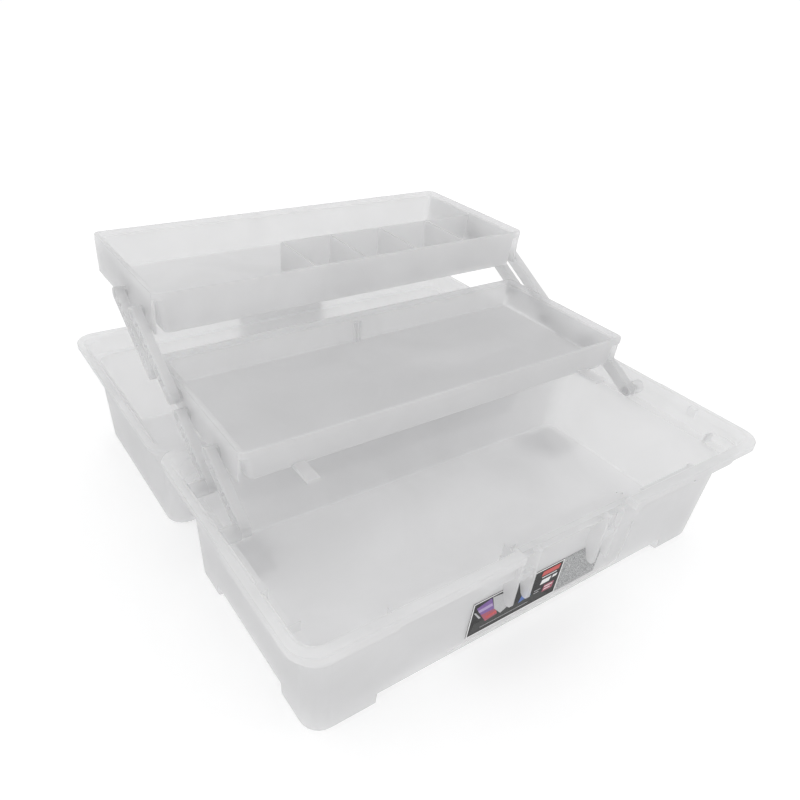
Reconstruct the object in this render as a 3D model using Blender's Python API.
"""Fold-out art supply box: a clear tub, a lid that opens flat behind it, and two
cantilever trays carried on eight parallel arms.

All design lengths are in millimetres and are turned to metres where a mesh is made.
Y is measured from the lid's hinge axis (front is negative), Z from the table.
The box stands open: every moving piece is modelled where it rests with the lid at 0 degrees.
"""
import math

import bmesh
import bpy
from mathutils import Matrix, Vector

MM = 0.001
GAP = 0.3                 # clearance between pieces that touch
FLAT = 0.6                # rise of a ledge, and size of a small chamfer
CORNER_STEPS = 6
ROUND_STEPS = 16

# Base tub
RIM_HALF = 177.5
RIM_FRONT = -183.0
RIM_BACK = -3.6
RIM_TOP = 87.0
LIP_UNDER = 82.0
SHELF_SIDE = 69.0         # underside of the skirt along the two ends
SHELF_FRONT = 76.0        # underside of the skirt along the front
FLOOR_UNDER = 9.5
FLOOR_TOP = 11.0
FOOT_START_X = 120.0
FOOT_LENGTH_Y = 32.0
FOOT_RIB = 138.0          # web across the hollow underside of each foot
WALL = 2.0

# Latch bay in the middle of the front
BAY_HALF = 44.0
BAY_FACE = -175.0
BAY_WALL = -169.3
BAY_INNER = -166.9
BAY_FLAT = 33.0           # half length of the bay before its ends slant to the rim
CHEEK_X = (27.4, 40.2)
CHEEK_THICK = 2.0
BAR_FRONT = -177.0
BAR_BACK = -174.2
BAR_BOTTOM = 62.0
BAR_TOP = 66.0

# Label on the front
LABEL_LEFT = -60.0
LABEL_SPLIT = 12.0
LABEL_RIGHT = 48.0
LABEL_BOTTOM = 16.0
LABEL_TOP = 46.0
LABEL_THICK = 0.35
RECESS_HALF = 73.0
RECESS_DEPTH = 0.9
SLIT_X = (65.0, 77.0)     # thin slit through the wall beside the label
SLIT_Z = (55.0, 56.6)

# Lid, lying open on its crown
LID_RIM = 80.0
LID_HALF = 175.7
LID_NEAR = -RIM_BACK
LID_FAR = -RIM_FRONT
HINGE_Z = (RIM_TOP + LID_RIM + GAP) / 2
HINGE_X = 95.0
KNUCKLE_RADIUS = 2.6
KNUCKLE_LENGTH = 8.0
LID_KNUCKLE = 13.0
HINGE_PIN_RADIUS = 1.2

# Trays
TRAY_HALF = 152.5
TRAY_DEPTH = 124.0
LOWER_TRAY = (-71.3, 98.0, 22.2)      # front edge, underside, height
UPPER_TRAY = (47.8, 134.1, 29.0)
BEAD_HEIGHT = 5.0
END_PLATE = 1.6           # flush plates over the two ends, down to the underside
TONGUE_X = 116.0
TONGUE_WIDTH = 8.0
TONGUE_LENGTH = 15.0
DIVIDER = 1.6
SPINE_Y = 110.6           # lengthwise divider of the upper tray
CROSS_X = (-34.0, 8.0, 53.6, 100.4)
GUIDE_X = -5.0            # slot between two ribs that takes a loose divider
GUIDE_PITCH = 3.6

# Arms: each stage is a pair of equal parallel links on each side
ARM_INNER = 154.0
ARM_OUTER = 160.0
ARM_RADIUS = 4.5
LOWER_PIVOT = (-83.0, 80.0)
LOWER_SPACING = 44.0
LOWER_OPEN = 30.0
LOWER_CLOSED = 167.0
UPPER_PIVOT_ON_TRAY = (85.0, 13.4)
UPPER_SPACING = 34.0
UPPER_OPEN = 29.0
UPPER_CLOSED = 162.0
CLOSED_TRAY_FRONT = -160.0
PIN_RADIUS = 1.7
PIN_HEAD = 3.0
HEAD_DEPTH = 1.3
BOSS_RADIUS = 4.2

# Latch, hanging from the lid's far rim
LATCH_Y = 180.7
LATCH_Z = 78.0
LATCH_HALF = 40.0
LATCH_PLATE = (-3.3, -1.0)            # plate faces, from the pivot
LATCH_DROP = 31.0
LATCH_BARREL = 2.1
LATCH_PIN_RADIUS = 1.1
LATCH_NOTCH_HALF = 42.0

# Carry handle, folded into the crown
HANDLE_Y = 104.0
HANDLE_Z = 2.3
HANDLE_HALF = 57.0
HANDLE_REACH = 30.0
HANDLE_LEG = 9.0
HANDLE_LEG_HALF = 1.7     # half the thickness of a leg, and the radius of its barrel
HANDLE_GRIP = 12.0
HANDLE_GRIP_TOP = 8.6
HANDLE_AXLE = 1.2
ROOM_X = 60.0
ROOM_SIDE = 3.0
ROOM_WALL = 1.6
ROOM = ((99.5, 4.4), (107.0, 4.6), (116.0, 9.2), (138.0, 9.2))    # ceiling, near to far

HOOK_REACH = 2 * LATCH_Y + BAR_BACK - GAP    # tip of the hooks, hanging
CENTRE_Y = -(RIM_FRONT + HOOK_REACH) / 2


def wipe_scene():
    for old in list(bpy.data.objects):
        bpy.data.objects.remove(old)


def new_collection(name):
    collection = bpy.data.collections.new(name)
    bpy.context.scene.collection.children.link(collection)
    return collection


def plastic(name, colour, roughness, alpha=1.0, metallic=0.0):
    material = bpy.data.materials.new(name)
    material.use_nodes = True
    shader = material.node_tree.nodes["Principled BSDF"]
    shader.inputs["Base Color"].default_value = (*colour, 1.0)
    shader.inputs["Roughness"].default_value = roughness
    shader.inputs["Metallic"].default_value = metallic
    shader.inputs["Alpha"].default_value = alpha
    return material


wipe_scene()
PARTS = new_collection("art_supply_box")
TOOLS = new_collection("cutters")
FRAME = bpy.data.objects.new("box_frame", None)
FRAME.location.y = CENTRE_Y * MM
PARTS.objects.link(FRAME)


def finish_mesh(name, mesh_data, collection):
    """Turns a bmesh in millimetres into an object in metres."""
    bmesh.ops.recalc_face_normals(mesh_data, faces=mesh_data.faces)
    bmesh.ops.scale(mesh_data, vec=(MM, MM, MM), verts=mesh_data.verts)
    mesh = bpy.data.meshes.new(name)
    mesh_data.to_mesh(mesh)
    mesh_data.free()
    thing = bpy.data.objects.new(name, mesh)
    collection.objects.link(thing)
    thing.parent = FRAME
    return thing


def as_tool(thing):
    thing.hide_render = True
    thing.display_type = "WIRE"
    return thing


def as_part(thing, material, origin=(0.0, 0.0, 0.0)):
    """Gives a part its material and puts its origin on its joint's axis."""
    thing.data.materials.append(material)
    offset = Vector(origin) * MM
    thing.data.transform(Matrix.Translation(-offset))
    thing.location = offset
    return thing


def loft(name, rings, collection=TOOLS):
    """Skins a list of rings with equal point counts and closes both ends."""
    mesh_data = bmesh.new()
    rows = [[mesh_data.verts.new(corner) for corner in ring] for ring in rings]
    count = len(rows[0])
    for below, above in zip(rows, rows[1:]):
        for i in range(count):
            j = (i + 1) % count
            mesh_data.faces.new((below[i], below[j], above[j], above[i]))
    mesh_data.faces.new(rows[0])
    mesh_data.faces.new(rows[-1])
    return finish_mesh(name, mesh_data, collection)


def rounded_ring(z, half_x, front, back, radius):
    """A rounded rectangle at one height, as corner arcs."""
    corners = (
        (half_x - radius, back - radius, 0),
        (radius - half_x, back - radius, 1),
        (radius - half_x, front + radius, 2),
        (half_x - radius, front + radius, 3),
    )
    ring = []
    for x, y, quarter in corners:
        for step in range(CORNER_STEPS + 1):
            angle = (quarter + step / CORNER_STEPS) * math.pi / 2
            ring.append((x + radius * math.cos(angle), y + radius * math.sin(angle), z))
    return ring


def round_ring(x, radius, y, z):
    ring = []
    for step in range(ROUND_STEPS):
        angle = 2 * math.pi * step / ROUND_STEPS
        ring.append((x, y + radius * math.cos(angle), z + radius * math.sin(angle)))
    return ring


def turned(name, profile, y, z, collection=TOOLS):
    """A round piece along X, from (x, radius) stations."""
    return loft(name, [round_ring(x, radius, y, z) for x, radius in profile], collection)


def prism(name, outline, axis, low, high, collection=TOOLS):
    """An outline in the plane across an axis, extruded along it."""
    places = {"x": (2, 0, 1), "y": (0, 2, 1), "z": (0, 1, 2)}[axis]
    mesh_data = bmesh.new()
    corners = [(a, b, low) for a, b in outline]
    face = mesh_data.faces.new([mesh_data.verts.new([corner[i] for i in places]) for corner in corners])
    pushed = bmesh.ops.extrude_face_region(mesh_data, geom=[face])["geom"]
    along = Vector((axis == "x", axis == "y", axis == "z")) * (high - low)
    bmesh.ops.translate(mesh_data, vec=along, verts=[v for v in pushed if isinstance(v, bmesh.types.BMVert)])
    return finish_mesh(name, mesh_data, collection)


def block(name, x, y, z, collection=TOOLS):
    """A plain block between pairs of coordinates."""
    centre = [sum(pair) / 2 for pair in (x, y, z)]
    size = [abs(pair[1] - pair[0]) for pair in (x, y, z)]
    mesh_data = bmesh.new()
    bmesh.ops.create_cube(mesh_data, size=1.0, matrix=Matrix.LocRotScale(centre, None, size))
    return finish_mesh(name, mesh_data, collection)


def boolean(body, tool, operation):
    step = body.modifiers.new(tool.name, "BOOLEAN")
    step.operation = operation
    step.solver = "EXACT"
    step.object = as_tool(tool)


def add(body, tool):
    boolean(body, tool, "UNION")


def cut(body, tool):
    boolean(body, tool, "DIFFERENCE")


def both_sides(x_low, x_high):
    """The same stretch of X on the left and on the right."""
    return (("left", (-x_high, -x_low)), ("right", (x_low, x_high)))


def turn(length, degrees):
    angle = math.radians(degrees)
    return length * math.cos(angle), length * math.sin(angle)


# Linkage worked out from the open and closed places of the trays.
LOWER_LENGTH = (LOWER_TRAY[0] - CLOSED_TRAY_FRONT) / (
    math.cos(math.radians(LOWER_OPEN)) - math.cos(math.radians(LOWER_CLOSED))
)
UPPER_LENGTH = (UPPER_TRAY[0] - LOWER_TRAY[0]) / (
    math.cos(math.radians(UPPER_OPEN)) - math.cos(math.radians(UPPER_CLOSED))
)
LOWER_RUN = turn(LOWER_LENGTH, LOWER_OPEN)
UPPER_RUN = turn(UPPER_LENGTH, UPPER_OPEN)
LOWER_TOP = (LOWER_PIVOT[0] + LOWER_RUN[0], LOWER_PIVOT[1] + LOWER_RUN[1])
UPPER_PIVOT = (LOWER_TRAY[0] + UPPER_PIVOT_ON_TRAY[0], LOWER_TRAY[1] + UPPER_PIVOT_ON_TRAY[1])
UPPER_TOP = (UPPER_PIVOT[0] + UPPER_RUN[0], UPPER_PIVOT[1] + UPPER_RUN[1])

CLEAR = plastic("clear_polypropylene", (0.80, 0.81, 0.82), 0.35, alpha=0.55)
CLEAR_ARM = plastic("clear_polypropylene_arm", (0.74, 0.75, 0.76), 0.40, alpha=0.7)
STEEL = plastic("steel_wire", (0.55, 0.56, 0.57), 0.30, metallic=1.0)
BLACK_CARD = plastic("printed_label", (0.02, 0.02, 0.022), 0.45)
GREY_CARD = plastic("speckled_label", (0.42, 0.43, 0.44), 0.55)


def base_outside():
    """Outer wall of the tub, from the feet up to the rim."""
    return [
        rounded_ring(0.0, 159.2, -162.4, -15.6, 11.0),
        rounded_ring(1.0, 160.2, -163.4, -14.6, 12.0),
        rounded_ring(SHELF_SIDE, 163.5, -169.0, -11.4, 12.5),
        rounded_ring(SHELF_SIDE + FLAT, 170.4, -169.5, -10.4, 14.0),
        rounded_ring(SHELF_FRONT, 170.8, -169.8, -10.2, 14.0),
        rounded_ring(SHELF_FRONT + FLAT, 171.0, -175.6, -10.0, 14.0),
        rounded_ring(LIP_UNDER - 0.2, 171.3, -176.0, -9.8, 14.0),
        rounded_ring(LIP_UNDER + 0.2, RIM_HALF, RIM_FRONT, RIM_BACK, 15.0),
        rounded_ring(RIM_TOP - FLAT, RIM_HALF, RIM_FRONT, RIM_BACK, 15.0),
        rounded_ring(RIM_TOP, RIM_HALF - FLAT, RIM_FRONT + FLAT, RIM_BACK - FLAT, 14.4),
    ]


def base_inside():
    """Inner wall of the tub, from the rim down to the floor."""
    return [
        rounded_ring(RIM_TOP, 172.6, -176.6, -8.4, 11.0),
        rounded_ring(RIM_TOP - FLAT, 172.0, -176.0, -9.0, 10.5),
        rounded_ring(82.6, 169.4, -174.0, -11.8, 12.0),
        rounded_ring(SHELF_FRONT + WALL + FLAT, 169.2, -173.7, -12.0, 12.0),
        rounded_ring(SHELF_FRONT + WALL, 169.0, -167.6, -12.2, 12.0),
        rounded_ring(SHELF_SIDE + WALL + FLAT, 168.6, -167.3, -12.6, 12.0),
        rounded_ring(SHELF_SIDE + WALL, 161.7, -167.0, -13.4, 10.6),
        rounded_ring(FLOOR_TOP + 1.2, 158.6, -161.6, -16.6, 9.5),
        rounded_ring(FLOOR_TOP, 157.4, -160.4, -17.8, 8.5),
    ]


def front_wall(z):
    """Outer face of the drafted front wall at a height."""
    return -163.4 - 5.6 * (z - 1.0) / (SHELF_SIDE - 1.0)


def shape_feet(tub):
    foot_front = -163.0 + FOOT_LENGTH_Y
    foot_back = -15.0 - FOOT_LENGTH_Y
    cut(tub, block("feet_gap_x", (-FOOT_START_X, FOOT_START_X), (-200, 20), (-5, FLOOR_UNDER)))
    cut(tub, block("feet_gap_y", (-200, 200), (foot_front, foot_back), (-4, FLOOR_UNDER)))
    stretches = (("front", (-157.5, foot_front - WALL)), ("back", (foot_back + WALL, -20.5)))
    halves = ((FOOT_START_X + WALL, FOOT_RIB - WALL / 2), (FOOT_RIB + WALL / 2, 154.0))
    for number, half in enumerate(halves):
        for side, reach in both_sides(*half):
            for end, stretch in stretches:
                core = f"foot_core_{end}_{side}_{number}"
                cut(tub, block(core, reach, stretch, (-3, FLOOR_UNDER)))


def shape_corner_skirts(tub):
    """The skirt reaches lower round the two front corners."""
    inner_x = 118.0
    rings = [rounded_ring(z, 170.9, -175.5, -100.0, 14.0) for z in (SHELF_SIDE + 0.2, SHELF_FRONT + 1.5)]
    skirt = loft("corner_skirt", rings)
    cut(skirt, block("corner_skirt_middle", (-inner_x, inner_x), (-200, -50), (50, 90)))
    cut(skirt, block("corner_skirt_back", (-200, 200), (-150, -50), (50, 90)))
    cut(skirt, block("corner_skirt_room", (-160, 160), (-166, -50), (50, 90)))
    add(tub, skirt)
    rings = [rounded_ring(z, 168.4, -173.4, -98.0, 12.0) for z in (71.4, 79.4)]
    hollow = loft("corner_hollow", rings)
    cut(hollow, block("corner_hollow_middle", (-inner_x - WALL, inner_x + WALL), (-200, -50), (50, 90)))
    cut(hollow, block("corner_hollow_back", (-200, 200), (-152, -50), (50, 90)))
    cut(tub, hollow)


def shape_hoods(tub):
    """A hood on each side of the latch bay flares down out of the skirt."""
    outer = ((37.5, 64.0), (60.0, 64.0), (73.5, 77.0), (37.5, 77.0))
    inner = ((48.0, 66.0), (59.4, 66.0), (69.5, 75.6), (69.5, 79.2), (48.0, 79.2))
    for side, sign in (("left", -1), ("right", 1)):
        hood = [(sign * x, z) for x, z in outer]
        room = [(sign * x, z) for x, z in inner]
        add(tub, prism(f"hood_{side}", hood, "y", -175.4, -167.8))
        cut(tub, prism(f"hood_room_{side}", room, "y", -173.3, -160.0))


def shape_latch_bay(tub):
    """The rim is set back in the middle to make room for the latch."""
    add(tub, prism("bay_flange", bay_plan(-178.0, BAY_INNER), "z", LIP_UNDER + 0.1, RIM_TOP - 0.02))
    add(tub, prism("bay_back", bay_plan(-171.0, BAY_INNER - 0.05), "z", 70.0, 86.0))
    for side, reach in both_sides(BAY_HALF, 46.2):
        add(tub, block(f"bay_end_{side}", reach, (-175.9, -167.2), (76.4, 85)))
    cut(tub, block("bay_front", (-BAY_HALF, BAY_HALF), (-190, BAY_FACE), (77.2, 95)))
    cut(tub, block("bay_under", (-BAY_HALF, BAY_HALF), (-180, BAY_WALL), (77.2, LIP_UNDER)))
    for x in CHEEK_X:
        for side, reach in both_sides(x - CHEEK_THICK / 2, x + CHEEK_THICK / 2):
            add(tub, prism(f"cheek_{x:.0f}_{side}", cheek_outline(), "x", *reach))
    for side, reach in both_sides(*CHEEK_X):
        add(tub, block(f"catch_bar_{side}", reach, (BAR_FRONT, BAR_BACK), (BAR_BOTTOM, BAR_TOP)))


def bay_plan(front, back):
    """The set-back stretch seen from above, its ends slanting out to the rim."""
    reach = BAY_HALF + 2.0
    slant = -174.2
    return (
        (-reach, front),
        (reach, front),
        (reach, max(slant, front)),
        (BAY_FLAT, back),
        (-BAY_FLAT, back),
        (-reach, max(slant, front)),
    )


def cheek_outline():
    """Side view of a cheek: a rib that leans out upwards and ends in a round lobe."""
    outline = [(-167.6, 54.0), (-167.6, 82.6), (-174.6, 82.6), (-178.8, 80.0)]
    for step in range(7):
        angle = math.radians(170 + step * 26)
        outline.append((-173.6 + 2.9 * math.cos(angle), 44.0 + 2.9 * math.sin(angle)))
    return outline


def shape_label_recess(tub):
    top = 50.0
    bottom = 12.5
    outline = (
        (front_wall(bottom) - 3.0, bottom),
        (front_wall(bottom) + RECESS_DEPTH, bottom),
        (front_wall(top) + RECESS_DEPTH, top),
        (front_wall(top) - 3.0, top),
    )
    cut(tub, prism("label_recess", outline, "x", -RECESS_HALF, RECESS_HALF))
    cut(tub, block("wall_slit", SLIT_X, (-172.0, -164.0), SLIT_Z))


def shape_arm_bosses(tub):
    for name, y in lower_pivots():
        for side, sign in (("left", -1), ("right", 1)):
            stations = [(sign * x, 5.0) for x in (ARM_OUTER + 0.4, 170.0)]
            hole = [(sign * x, PIN_RADIUS + GAP) for x in (ARM_OUTER - 1.0, 167.5)]
            add(tub, turned(f"arm_boss_{name}_{side}", stations, y, LOWER_PIVOT[1]))
            cut(tub, turned(f"arm_hole_{name}_{side}", hole, y, LOWER_PIVOT[1]))


def lower_pivots():
    return (("front", LOWER_PIVOT[0]), ("rear", LOWER_PIVOT[0] + LOWER_SPACING))


def shape_rim_details(tub):
    for side, reach in both_sides(167.8, 172.8):
        add(tub, block(f"rim_stop_{side}", reach, (-134.0, -128.0), (80.0, RIM_TOP - 0.3)))
    for side, reach in both_sides(RIM_HALF - 1.2, RIM_HALF + 2):
        cut(tub, block(f"rim_step_{side}", reach, (-97.0, 5.0), (LIP_UNDER - 3, RIM_TOP + 3)))


def hinge_stretches(x):
    """X stretches of one hinge's two outer knuckles and its middle one."""
    half = LID_KNUCKLE / 2
    outer = half + GAP + KNUCKLE_LENGTH
    return ((x - outer, x - half - GAP), (x + half + GAP, x + outer)), (x - half, x + half)


def shape_base_hinges(tub):
    for side, x in (("left", -HINGE_X), ("right", HINGE_X)):
        outer, middle = hinge_stretches(x)
        notch = (middle[0] - GAP, middle[1] + GAP)
        cut(tub, block(f"hinge_notch_{side}", notch, (-4.6, 0), (LIP_UNDER - 2, RIM_TOP + 2)))
        for number, reach in enumerate(outer):
            name = f"base_knuckle_{side}_{number}"
            add(tub, turned(name, [(x_end, KNUCKLE_RADIUS) for x_end in reach], 0, HINGE_Z))
            inside = (reach[0] + 0.05, reach[1] - 0.05)
            add(tub, block(name + "_web", inside, (-5.2, -0.4), (HINGE_Z - 1.2, HINGE_Z + 2.0)))
        hole = [(outer[0][0] - 1, HINGE_PIN_RADIUS + GAP), (outer[1][1] + 1, HINGE_PIN_RADIUS + GAP)]
        cut(tub, turned(f"hinge_bore_{side}", hole, 0, HINGE_Z))


def make_base_tub():
    tub = loft("base_tub", base_outside() + base_inside(), PARTS)
    shape_feet(tub)
    shape_corner_skirts(tub)
    shape_label_recess(tub)
    shape_hoods(tub)
    shape_latch_bay(tub)
    shape_arm_bosses(tub)
    shape_rim_details(tub)
    shape_base_hinges(tub)
    as_part(tub, CLEAR)


def lid_outside():
    """Outer wall of the lid as it lies open, from the crown up to the rim."""
    return [
        rounded_ring(0.0, 160.0, 27.6, 165.4, 11.0),
        rounded_ring(1.2, 161.4, 26.2, 166.8, 12.0),
        rounded_ring(63.0, 164.4, 13.8, 172.6, 12.5),
        rounded_ring(63.0 + FLAT, 169.6, 9.9, 176.3, 14.0),
        rounded_ring(75.8, 170.2, 9.6, 176.7, 14.0),
        rounded_ring(76.2, LID_HALF, LID_NEAR, LID_FAR, 15.0),
        rounded_ring(LID_RIM - FLAT, LID_HALF, LID_NEAR, LID_FAR, 15.0),
        rounded_ring(LID_RIM, LID_HALF - FLAT, LID_NEAR + FLAT, LID_FAR - FLAT, 14.4),
    ]


def lid_inside():
    """Inner wall of the lid, from the rim down to the crown."""
    return [
        rounded_ring(LID_RIM, 171.4, 9.6, 176.9, 11.0),
        rounded_ring(LID_RIM - FLAT, 171.0, 10.0, 176.5, 10.6),
        rounded_ring(76.0, 168.6, 11.4, 175.3, 12.0),
        rounded_ring(65.4, 168.0, 11.8, 174.8, 12.0),
        rounded_ring(64.8, 162.4, 15.8, 170.8, 10.6),
        rounded_ring(3.4, 159.4, 28.2, 164.8, 10.0),
        rounded_ring(2.2, 158.2, 29.4, 163.6, 9.0),
    ]


def shape_handle_room(lid):
    """A wedge-shaped room in the crown: shallow at the axles, deep at the grip."""
    (near, near_top), (bend, bend_top), (rise, top), (far, _) = ROOM
    room = ((near, -3.0), (far, -3.0), (far, top), (rise, top), (bend, bend_top), (near, near_top))
    housing = (
        (near - ROOM_WALL, 1.2),
        (far + ROOM_WALL, 1.2),
        (far + ROOM_WALL, top + ROOM_WALL),
        (rise - 0.8, top + ROOM_WALL),
        (bend - 0.5, bend_top + ROOM_WALL),
        (near - ROOM_WALL, near_top + ROOM_WALL),
    )
    inner = ROOM_X + ROOM_SIDE
    add(lid, prism("handle_housing", housing, "x", -inner, inner))
    cut(lid, prism("handle_room", room, "x", -ROOM_X, ROOM_X))
    for side, sign in (("left", -1), ("right", 1)):
        hole = [(sign * x, HANDLE_AXLE + GAP) for x in (ROOM_X - 2, inner + 1)]
        cut(lid, turned(f"handle_hole_{side}", hole, HANDLE_Y, HANDLE_Z))


def shape_latch_mount(lid):
    for side, reach in both_sides(LATCH_NOTCH_HALF, LATCH_NOTCH_HALF + 6.0):
        add(lid, block(f"latch_ear_{side}", reach, (176.9, LID_FAR - 0.1), (74.6, LID_RIM - 0.3)))
    notch = (-LATCH_NOTCH_HALF, LATCH_NOTCH_HALF)
    cut(lid, block("latch_notch", notch, (178.3, 190), (72, 85)))
    bore = [(x, LATCH_PIN_RADIUS + GAP) for x in (-LATCH_NOTCH_HALF - 4, LATCH_NOTCH_HALF + 4)]
    cut(lid, turned("latch_bore", bore, LATCH_Y, LATCH_Z))


def shape_lid_hinges(lid):
    for side, x in (("left", -HINGE_X), ("right", HINGE_X)):
        _, middle = hinge_stretches(x)
        stations = [(x_end, KNUCKLE_RADIUS) for x_end in middle]
        add(lid, turned(f"lid_knuckle_{side}", stations, 0, HINGE_Z))
        inside = (middle[0] + 0.05, middle[1] - 0.05)
        add(lid, block(f"lid_knuckle_web_{side}", inside, (0.3, 4.6), (76.8, HINGE_Z + 0.3)))
        bore = [(x_end, HINGE_PIN_RADIUS + GAP) for x_end in (middle[0] - 1, middle[1] + 1)]
        cut(lid, turned(f"lid_bore_{side}", bore, 0, HINGE_Z))


def make_lid():
    lid = loft("lid_shell", lid_outside() + lid_inside(), PARTS)
    shape_handle_room(lid)
    shape_latch_mount(lid)
    shape_lid_hinges(lid)
    as_part(lid, CLEAR, (0, 0, HINGE_Z))


def make_hinge_pins():
    for side, x in (("left", -HINGE_X), ("right", HINGE_X)):
        outer, _ = hinge_stretches(x)
        stations = ((outer[0][0] + 0.5, HINGE_PIN_RADIUS), (outer[1][1] - 0.5, HINGE_PIN_RADIUS))
        as_part(turned(f"hinge_pin_{side}", stations, 0, HINGE_Z, PARTS), STEEL, (x, 0, HINGE_Z))


def tray_rings(front, base, height):
    """Outer rings up, then inner rings down, of a tray with a banded rim."""
    back = front + TRAY_DEPTH
    band = height - BEAD_HEIGHT
    half = TRAY_HALF
    return [
        rounded_ring(base, half - 7.2, front + 4.4, back - 4.4, 3.4),
        rounded_ring(base + 1.0, half - 6.4, front + 3.6, back - 3.6, 4.2),
        rounded_ring(base + band, half - 3.6, front + 2.6, back - 2.6, 4.2),
        rounded_ring(base + band + 0.4, half, front, back, 4.6),
        rounded_ring(base + height - 0.5, half, front, back, 4.6),
        rounded_ring(base + height, half - 0.4, front + 0.4, back - 0.4, 4.2),
        rounded_ring(base + height, half - 2.2, front + 2.2, back - 2.2, 3.0),
        rounded_ring(base + band + 2.2, half - 2.6, front + 2.6, back - 2.6, 2.8),
        rounded_ring(base + band + 1.6, half - 5.4, front + 4.6, back - 4.6, 2.8),
        rounded_ring(base + 2.8, half - 8.4, front + 5.6, back - 5.6, 3.0),
        rounded_ring(base + 1.8, half - 9.4, front + 6.6, back - 6.6, 2.2),
    ]


def add_end_plates(tray, name, front, base, height):
    """Plates flush with the rim cover the drafted end walls, with the arms just outside them."""
    back = front + TRAY_DEPTH
    top = base + height - BEAD_HEIGHT + 1.0
    outline = (
        (front + 4.0, base + 1.0),
        (back - 4.0, base + 1.0),
        (back - 2.9, top),
        (front + 2.9, top),
    )
    for side, reach in both_sides(TRAY_HALF - END_PLATE - 0.1, TRAY_HALF - 0.1):
        add(tray, prism(f"{name}_end_plate_{side}", outline, "x", *reach))


def add_pivot_bosses(tray, name, pivots):
    for number, (y, z) in enumerate(pivots):
        for side, sign in (("left", -1), ("right", 1)):
            boss = [(sign * x, BOSS_RADIUS) for x in (TRAY_HALF - 5.0, ARM_INNER - GAP)]
            hole = [(sign * x, PIN_RADIUS + GAP) for x in (148.9, ARM_INNER + 1.0)]
            add(tray, turned(f"{name}_boss_{number}_{side}", boss, y, z))
            cut(tray, turned(f"{name}_hole_{number}_{side}", hole, y, z))


def make_lower_tray():
    front, base, height = LOWER_TRAY
    tray = loft("lower_tray", tray_rings(front, base, height), PARTS)
    back = front + TRAY_DEPTH
    for number, x in enumerate((GUIDE_X - GUIDE_PITCH / 2, GUIDE_X + GUIDE_PITCH / 2)):
        rib = (x - DIVIDER / 2, x + DIVIDER / 2)
        for end, stretch in (("front", (front + 3.9, front + 8.2)), ("back", (back - 8.2, back - 3.9))):
            name = f"guide_rib_{end}_{number}"
            add(tray, block(name, rib, stretch, (base + 1.2, base + height - 5)))
    for side, reach in both_sides(TONGUE_X - TONGUE_WIDTH / 2, TONGUE_X + TONGUE_WIDTH / 2):
        stretch = (front - TONGUE_LENGTH, front + 8)
        add(tray, block(f"tongue_{side}", reach, stretch, (base + 0.3, base + 2.5)))
    pivots = [(LOWER_TOP[0] + k * LOWER_SPACING, LOWER_TOP[1]) for k in (0, 1)]
    pivots += [(UPPER_PIVOT[0] + k * UPPER_SPACING, UPPER_PIVOT[1]) for k in (0, 1)]
    add_end_plates(tray, "lower_tray", front, base, height)
    add_pivot_bosses(tray, "lower_tray", pivots)
    as_part(tray, CLEAR, (0, *LOWER_TOP))


def make_upper_tray():
    front, base, height = UPPER_TRAY
    tray = loft("upper_tray", tray_rings(front, base, height), PARTS)
    low_high = (base + 1.2, base + height - 4)
    right_wall = TRAY_HALF - 5.8
    spine_wall = (SPINE_Y - DIVIDER / 2, SPINE_Y + DIVIDER / 2)
    add(tray, block("spine_divider", (CROSS_X[0], right_wall), spine_wall, low_high))
    for number, x in enumerate(CROSS_X):
        wall = (x - DIVIDER / 2, x + DIVIDER / 2)
        rise = (base + 1.1, base + height - 4.1)
        add(tray, block(f"cross_divider_{number}", wall, (front + 3.9, SPINE_Y), rise))
    pivots = [(UPPER_TOP[0] + k * UPPER_SPACING, UPPER_TOP[1]) for k in (0, 1)]
    add_end_plates(tray, "upper_tray", front, base, height)
    add_pivot_bosses(tray, "upper_tray", pivots)
    as_part(tray, CLEAR, (0, *UPPER_TOP))


def arm_outline(length):
    """A flat link with round ends, its first pivot at the origin."""
    outline = []
    for centre, start in ((length, -90), (0.0, 90)):
        for step in range(9):
            angle = math.radians(start + step * 22.5)
            outline.append((centre + ARM_RADIUS * math.cos(angle), ARM_RADIUS * math.sin(angle)))
    return outline


def make_arm(name, sign, pivot, length, angle, cells, low_head_inside):
    """One link: eyes at both ends and a ribbed channel between them, open outwards."""
    inner = sign * ARM_INNER
    outer = sign * ARM_OUTER
    tools = []
    first = 7.0
    pitch = (length - 2 * first) / cells
    for cell in range(cells):
        reach = (first + cell * pitch + 0.7, first + (cell + 1) * pitch - 0.7)
        pocket = (outer - sign * 4.2, outer + sign * 1.0)
        tools.append(block(f"{name}_cell_{cell}", pocket, reach, (-2.9, 2.9)))
    for end, y in (("low", 0.0), ("high", length)):
        bore = [(x, PIN_RADIUS + GAP) for x in (inner - sign, outer + sign)]
        tools.append(turned(f"{name}_{end}_bore", bore, y, 0.0))
        inside = end == "low" and low_head_inside
        face, inward = (inner, sign) if inside else (outer, -sign)
        sink = [(face - inward, PIN_HEAD + GAP), (face + inward * HEAD_DEPTH, PIN_HEAD + GAP)]
        tools.append(turned(f"{name}_{end}_sink", sink, y, 0.0))
    arm = prism(name, arm_outline(length), "x", min(inner, outer), max(inner, outer), PARTS)
    arm.data.materials.append(CLEAR_ARM)
    for thing in [arm] + tools:
        thing.location = Vector((0, *pivot)) * MM
        thing.rotation_euler.x = math.radians(angle)
    for tool in tools:
        cut(arm, tool)


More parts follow.
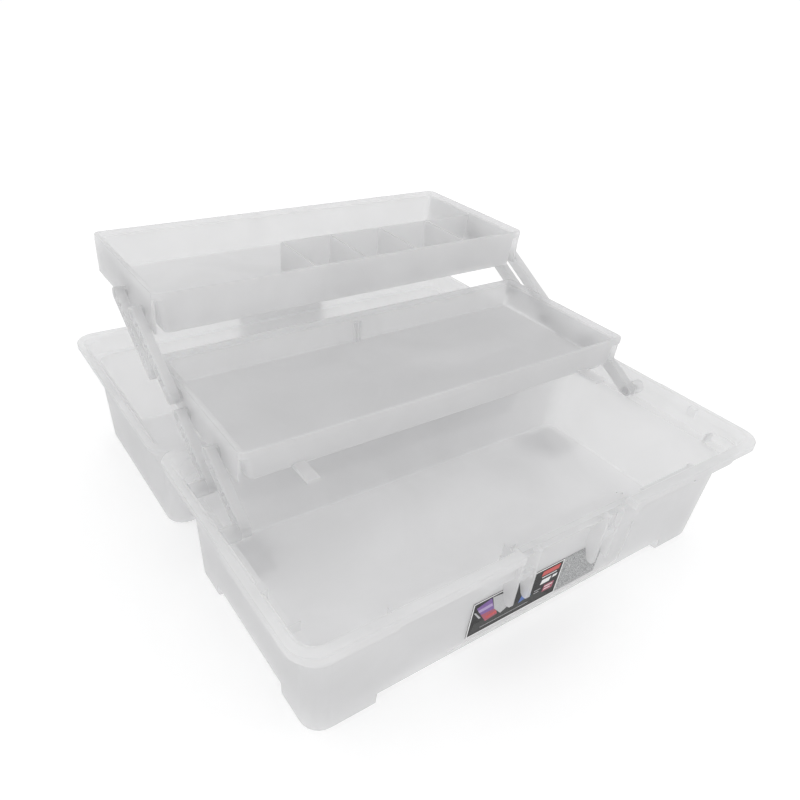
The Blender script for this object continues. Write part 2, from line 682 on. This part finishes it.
def make_pin(name, sign, y, z, head_at, tip_at):
    """A headed pivot pin, from its flush head to its tip."""
    inward = 1 if tip_at > head_at else -1
    head_end = head_at + inward * (HEAD_DEPTH - GAP)
    stations = (
        (head_at + inward * 0.05, PIN_HEAD - 0.3),
        (head_at + inward * 0.35, PIN_HEAD),
        (head_end, PIN_HEAD),
        (head_end, PIN_RADIUS),
        (tip_at - inward * 0.5, PIN_RADIUS),
        (tip_at, PIN_RADIUS - 0.5),
    )
    pin = turned(name, [(sign * x, radius) for x, radius in stations], y, z, PARTS)
    as_part(pin, CLEAR_ARM, (sign * head_at, y, z))


def make_arms():
    for side, sign in (("left", -1), ("right", 1)):
        for row, shift in (("front", 0), ("rear", 1)):
            low = (LOWER_PIVOT[0] + shift * LOWER_SPACING, LOWER_PIVOT[1])
            high = (LOWER_TOP[0] + shift * LOWER_SPACING, LOWER_TOP[1])
            name = f"lower_{row}_arm_{side}"
            make_arm(name, sign, low, LOWER_LENGTH, LOWER_OPEN, 4, True)
            make_pin(f"base_pin_{row}_{side}", sign, *low, ARM_INNER, 167.2)
            make_pin(f"lower_tray_pin_{row}_{side}", sign, *high, ARM_OUTER, 149.2)
            low = (UPPER_PIVOT[0] + shift * UPPER_SPACING, UPPER_PIVOT[1])
            high = (UPPER_TOP[0] + shift * UPPER_SPACING, UPPER_TOP[1])
            name = f"upper_{row}_arm_{side}"
            make_arm(name, sign, low, UPPER_LENGTH, UPPER_OPEN, 6, False)
            make_pin(f"stage_pin_{row}_{side}", sign, *low, ARM_OUTER, 149.2)
            make_pin(f"upper_tray_pin_{row}_{side}", sign, *high, ARM_OUTER, 149.2)


def make_latch():
    """A flap with two hooks that catch the bars of the base, and its pin."""
    near, far = (LATCH_Y + offset for offset in LATCH_PLATE)
    foot = LATCH_Z - LATCH_DROP
    hook_top = BAR_BOTTOM - GAP - (2 * HINGE_Z - LATCH_Z) + LATCH_Z
    hook_bottom = foot + 0.2
    barrel = LATCH_NOTCH_HALF - 0.4
    latch = turned("latch", [(-barrel, LATCH_BARREL), (barrel, LATCH_BARREL)], LATCH_Y, LATCH_Z, PARTS)
    neck = (
        (near, 74.4),
        (far, 74.4),
        (LATCH_Y + 1.4, 76.8),
        (LATCH_Y - 1.2, 79.0),
        (178.75, 77.4),
        (178.75, 75.6),
    )
    add(latch, prism("latch_neck", neck, "x", -LATCH_HALF, LATCH_HALF))
    add(latch, block("latch_plate", (-LATCH_HALF, LATCH_HALF), (near, far), (foot, 74.6)))
    for side, reach in both_sides(CHEEK_X[0] + 1.6, CHEEK_X[1] - 1.6):
        add(latch, block(f"latch_hook_{side}", reach, (far - 1, HOOK_REACH), (hook_bottom, hook_top)))
    bore = [(x, LATCH_PIN_RADIUS + GAP) for x in (-barrel - 1, barrel + 1)]
    cut(latch, turned("latch_barrel_bore", bore, LATCH_Y, LATCH_Z))
    as_part(latch, CLEAR, (0, LATCH_Y, LATCH_Z))
    end = LATCH_NOTCH_HALF + 3.6
    pin = turned("latch_pin", [(-end, LATCH_PIN_RADIUS), (end, LATCH_PIN_RADIUS)], LATCH_Y, LATCH_Z, PARTS)
    as_part(pin, STEEL, (0, LATCH_Y, LATCH_Z))


def make_handle():
    """A bail with thin legs, a thick grip and a barrel with a stub axle on each leg."""
    low = HANDLE_Z - HANDLE_LEG_HALF
    leg_top = HANDLE_Z + HANDLE_LEG_HALF
    high = HANDLE_GRIP_TOP
    tip = HANDLE_Y + HANDLE_REACH
    start = HANDLE_Y - 9.0
    rings = [rounded_ring(z, HANDLE_HALF - inset, start, tip - inset, 7.0 - inset)
             for z, inset in ((low, 1.2), (low + 1.2, 0.0), (high - 1.6, 0.0), (high, 1.6))]
    handle = loft("carry_handle", rings, PARTS)
    window_half = HANDLE_HALF - HANDLE_LEG
    rings = [rounded_ring(z, window_half, start - 9.0, tip - HANDLE_GRIP, 5.0) for z in (low - 2, high + 2)]
    cut(handle, loft("handle_window", rings))
    cut(handle, block("handle_start", (-70, 70), (start - 9.0, HANDLE_Y), (low - 3, high + 3)))
    above = (
        (start, leg_top),
        (HANDLE_Y + 5.0, leg_top),
        (HANDLE_Y + 15.0, high),
        (HANDLE_Y + 15.0, high + 3),
        (start, high + 3),
    )
    cut(handle, prism("handle_above_legs", above, "x", -70, 70))
    for side, sign in (("left", -1), ("right", 1)):
        barrel = [(sign * x, HANDLE_LEG_HALF) for x in (window_half + 0.2, HANDLE_HALF - 0.2)]
        add(handle, turned(f"handle_barrel_{side}", barrel, HANDLE_Y, HANDLE_Z))
        axle = [(sign * x, HANDLE_AXLE) for x in (HANDLE_HALF - 3, ROOM_X + ROOM_SIDE - 0.4)]
        add(handle, turned(f"handle_axle_{side}", axle, HANDLE_Y, HANDLE_Z))
    as_part(handle, CLEAR_ARM, (0, HANDLE_Y, HANDLE_Z))


def label_outline(bottom, top):
    """Side view of a label lying along the drafted wall of its recess."""
    face = RECESS_DEPTH - GAP
    return (
        (front_wall(bottom) + face - LABEL_THICK, bottom),
        (front_wall(bottom) + face, bottom),
        (front_wall(top) + face, top),
        (front_wall(top) + face - LABEL_THICK, top),
    )


def make_labels():
    outline = label_outline(LABEL_BOTTOM, LABEL_TOP)
    panel = prism("label_panel", outline, "x", LABEL_LEFT, LABEL_SPLIT - GAP / 2, PARTS)
    as_part(panel, BLACK_CARD)
    info = prism("label_side_panel", outline, "x", LABEL_SPLIT + GAP / 2, LABEL_RIGHT, PARTS)
    clip = (
        (LABEL_RIGHT - 7.0, LABEL_TOP + 1.0),
        (LABEL_RIGHT + 1.0, LABEL_TOP + 1.0),
        (LABEL_RIGHT + 1.0, LABEL_TOP - 8.0),
    )
    cut(info, prism("label_corner", clip, "y", -175.0, -160.0))
    as_part(info, GREY_CARD)


def main():
    make_base_tub()
    make_lid()
    make_hinge_pins()
    make_lower_tray()
    make_upper_tray()
    make_arms()
    make_latch()
    make_handle()
    make_labels()


main()
